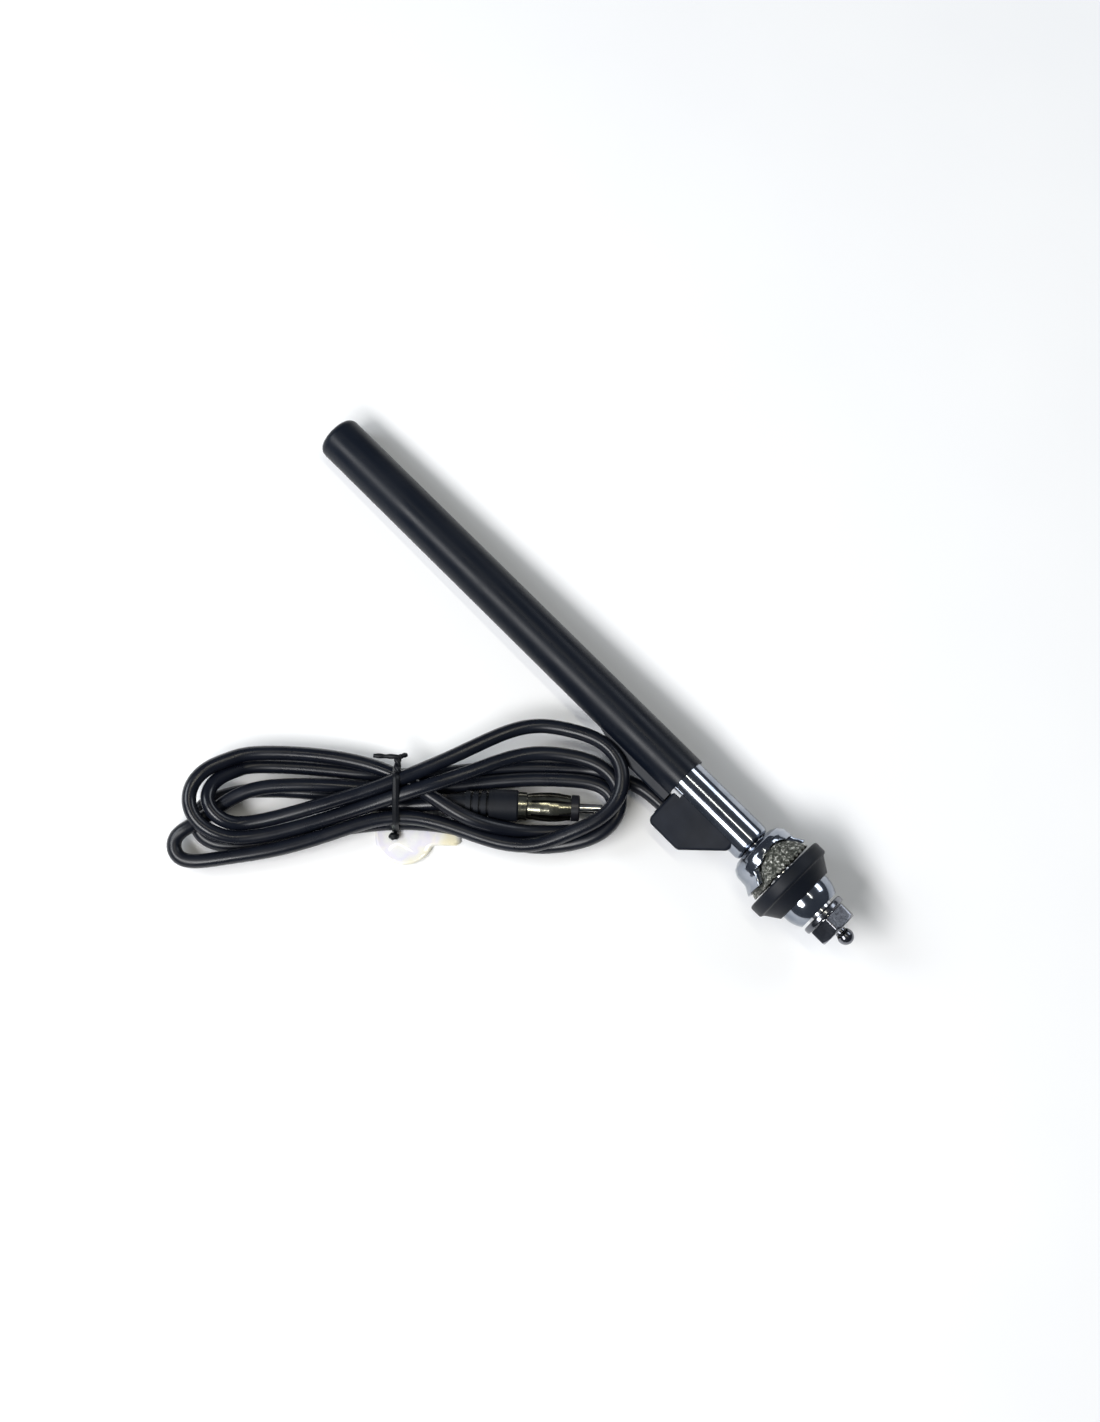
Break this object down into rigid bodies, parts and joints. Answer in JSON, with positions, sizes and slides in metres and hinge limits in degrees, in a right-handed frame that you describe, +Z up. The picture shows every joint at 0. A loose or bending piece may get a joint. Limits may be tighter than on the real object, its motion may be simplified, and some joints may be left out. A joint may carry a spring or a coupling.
{
  "type": "telescopic antenna",
  "caption": "Retracted telescopic whip antenna with a swivelling panel clamp, a side cable block and a tied coax lead ending in a coaxial radio plug.",
  "frame": {"origin": "centre of the base of the antenna without its lead, on the surface it lies on", "axes": "+X along the antenna towards the mast tip (the nose is 2 degrees up), +Z up, cable block and lead on the -Y side"},
  "size_m": [0.2362, 0.1494, 0.0294],
  "materials": {
    "sleeve_plastic": "satin black extruded plastic",
    "chrome": "mirror chrome plate",
    "liner_plastic": "natural polyethylene",
    "brass": "plain drawn brass",
    "plated_steel": "bright zinc plate",
    "white_nylon": "natural nylon",
    "block_plastic": "fine-textured moulded black",
    "rubber": "smooth black rubber",
    "cast_zinc": "rough cast zinc with bright grains",
    "nut_chrome": "chrome plate over machined steel",
    "cable_jacket": "glossy black vinyl jacket",
    "tie_plastic": "black plastic over wire",
    "tag_film": "pale pearly film",
    "boot_plastic": "moulded black plastic",
    "nickel": "nickel-plated spring brass",
    "ring_plastic": "black insulating plastic",
    "pin_plate": "bright nickel plate"
  },
  "bodies": {
    "antenna": {"dust_sleeve": "sleeve_plastic", "body_tube": "chrome", "tube_liner": "liner_plastic", "contact_tube": "brass", "tube_end_plug": "liner_plastic", "threaded_neck": "plated_steel", "neck_bush": "white_nylon", "cable_block": "block_plastic", "cable_block_lid": "block_plastic", "cable_grommet": "rubber", "braid_ferrule": "plated_steel", "cable_core": "white_nylon", "feed_wire": "brass", "earth_strap": "plated_steel", "swivel_saddle": "chrome", "ball_cap": "chrome", "lead": "cable_jacket", "lead_hank": "cable_jacket", "twist_tie": "tie_plastic", "blank_tag": "tag_film", "plug_boot": "boot_plastic", "plug_shell": "nickel", "plug_insulator": "ring_plastic", "plug_pin": "pin_plate"},
    "claw": {"claw": "cast_zinc"},
    "gasket": {"gasket": "rubber"},
    "washer": {"clamp_washer": "nut_chrome"},
    "nut": {"hex_nut": "nut_chrome"},
    "mast_1": {"mast_section_1": "chrome", "mast_guide_1": "brass"},
    "mast_2": {"mast_section_2": "chrome", "mast_guide_2": "brass"},
    "mast_3": {"mast_section_3": "chrome", "mast_guide_3": "brass"},
    "mast_4": {"mast_rod": "chrome", "mast_guide_4": "brass", "tip_ball": "nut_chrome"}
  },
  "joints": [
    {"name": "mast_1_slide", "type": "slide", "parent": "antenna", "child": "mast_1", "axis": [0.9994, 0, 0.0349], "range_m": [0, 0.17]},
    {"name": "mast_2_slide", "type": "slide", "parent": "mast_1", "child": "mast_2", "axis": [0.9994, 0, 0.0349], "range_m": [0, 0.2]},
    {"name": "mast_3_slide", "type": "slide", "parent": "mast_2", "child": "mast_3", "axis": [0.9994, 0, 0.0349], "range_m": [0, 0.2]},
    {"name": "mast_4_slide", "type": "slide", "parent": "mast_3", "child": "mast_4", "axis": [0.9994, 0, 0.0349], "range_m": [0, 0.2]},
    {"name": "head_swivel", "type": "hinge", "parent": "antenna", "child": "gasket", "pos_m": [0.09843, 0.0016, 0.01503], "axis": [-0.034, 0.225, 0.9738], "range_deg": [-8, 8]},
    {"name": "claw_rock", "type": "hinge", "parent": "antenna", "child": "claw", "pos_m": [0.08893, 0.0016, 0.01469], "axis": [-0.034, 0.225, 0.9738], "range_deg": [-8, 8]},
    {"name": "nut_turn", "type": "hinge", "parent": "washer", "child": "nut", "pos_m": [0.10712, 0.0016, 0.01533], "axis": [0.9994, 0, 0.0349], "range_deg": [0, 1080.01]},
    {"name": "washer_slide", "type": "slide", "parent": "antenna", "child": "washer", "axis": [0.9994, 0, 0.0349], "range_m": [0, 0.003]}
  ],
  "couplings": [
    {"joint": "claw_rock", "follows": "head_swivel", "ratio": 1},
    {"joint": "nut_turn", "follows": "washer_slide", "rad_per_m": 6283.2}
  ]
}
